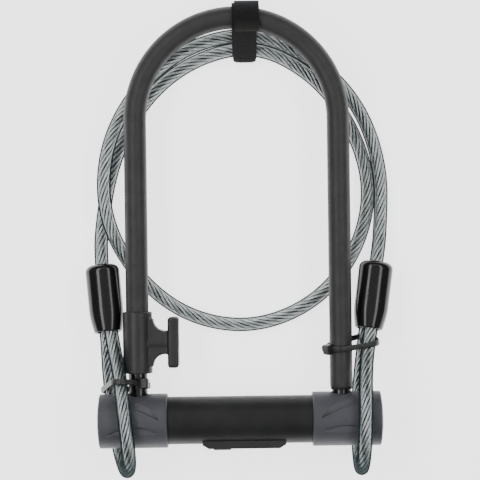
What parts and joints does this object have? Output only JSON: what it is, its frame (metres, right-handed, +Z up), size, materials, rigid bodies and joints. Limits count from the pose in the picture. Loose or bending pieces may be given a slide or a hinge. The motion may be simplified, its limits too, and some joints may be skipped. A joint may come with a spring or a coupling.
{
  "type": "bicycle u lock with cable",
  "caption": "U-shaped shackle locking into a keyed crossbar, with a looped security cable coiled behind it, strapped and tied, and a clamp-on carrier bracket.",
  "frame": {"origin": "middle of the lock's outline, without its cable, on the surface that it lies flat on", "axes": "+X along the crossbar, +Y from the crossbar to the shackle's bend, +Z up from the surface"},
  "size_m": [0.1985, 0.3035, 0.0537],
  "materials": {
    "steel_dark": "dark oxide hardened steel, satin",
    "black_coating": "soft vinyl coating, matt charcoal black",
    "bracket_plastic": "moulded nylon, matt charcoal",
    "black_rubber": "black rubber",
    "fastener_steel": "zinc plated steel",
    "black_webbing": "woven hook and loop strap, black",
    "cable": "smoke clear PVC over galvanised wire rope",
    "tube_steel": "hardened steel tube",
    "black_cover": "satin black cover",
    "grey_plastic": "moulded plastic, dark bluish grey, satin",
    "zinc": "die-cast zinc",
    "brass": "brass",
    "black_plastic": "moulded black plastic",
    "black_pvc": "glossy black PVC",
    "aluminium": "crimped aluminium",
    "black_nylon": "black nylon",
    "grey_tab": "moulded grey plastic"
  },
  "bodies": {
    "crossbar": {"crossbar_tube": "tube_steel", "crossbar_cover": "black_cover", "end_cap_left": "grey_plastic", "end_cap_right": "grey_plastic", "end_plug_left": "tube_steel", "end_plug_right": "tube_steel", "cylinder_housing": "zinc", "lock_cylinder": "brass", "cylinder_pin": "fastener_steel", "bolt_guide_left": "zinc", "bolt_guide_right": "zinc", "keyway_housing": "black_plastic", "cable_eye_left": "cable", "cable_eye_right": "cable", "cable_sleeve_left": "black_pvc", "cable_sleeve_right": "black_pvc", "ferrule_left": "aluminium", "ferrule_right": "aluminium", "zip_tie_left": "black_nylon", "zip_tie_right": "black_nylon"},
    "shackle": {"shackle_bar": "steel_dark", "shackle_coating": "black_coating", "bracket_body": "bracket_plastic", "bracket_liner": "black_rubber", "bracket_screw": "fastener_steel", "bracket_nut": "fastener_steel", "strap": "black_webbing", "cable_coil": "cable"},
    "key_core": {"key_plug": "brass", "locking_discs": "brass", "sidebar": "fastener_steel", "drive_cam": "fastener_steel"},
    "bolt_left": {"bolt_left": "fastener_steel"},
    "bolt_right": {"bolt_right": "fastener_steel"},
    "dust_cover": {"dust_cover": "grey_tab"}
  },
  "joints": [
    {"name": "shackle_slide", "type": "slide", "parent": "crossbar", "child": "shackle", "axis": [0, 1, 0], "range_m": [0, 0.03]},
    {"name": "key_turn", "type": "hinge", "parent": "crossbar", "child": "key_core", "pos_m": [0.0025, -0.12389, 0.02655], "axis": [0, 1, 0], "range_deg": [0, 90]},
    {"name": "bolt_left_slide", "type": "slide", "parent": "crossbar", "child": "bolt_left", "axis": [-1, 0, 0], "range_m": [0, 0.005]},
    {"name": "bolt_right_slide", "type": "slide", "parent": "crossbar", "child": "bolt_right", "axis": [1, 0, 0], "range_m": [0, 0.005]},
    {"name": "dust_cover_slide", "type": "slide", "parent": "crossbar", "child": "dust_cover", "axis": [-1, 0, 0], "range_m": [0, 0.005]}
  ],
  "couplings": [
    {"joint": "bolt_left_slide", "follows": "key_turn", "m_per_rad": 0.0031831},
    {"joint": "bolt_right_slide", "follows": "key_turn", "m_per_rad": 0.0031831}
  ]
}
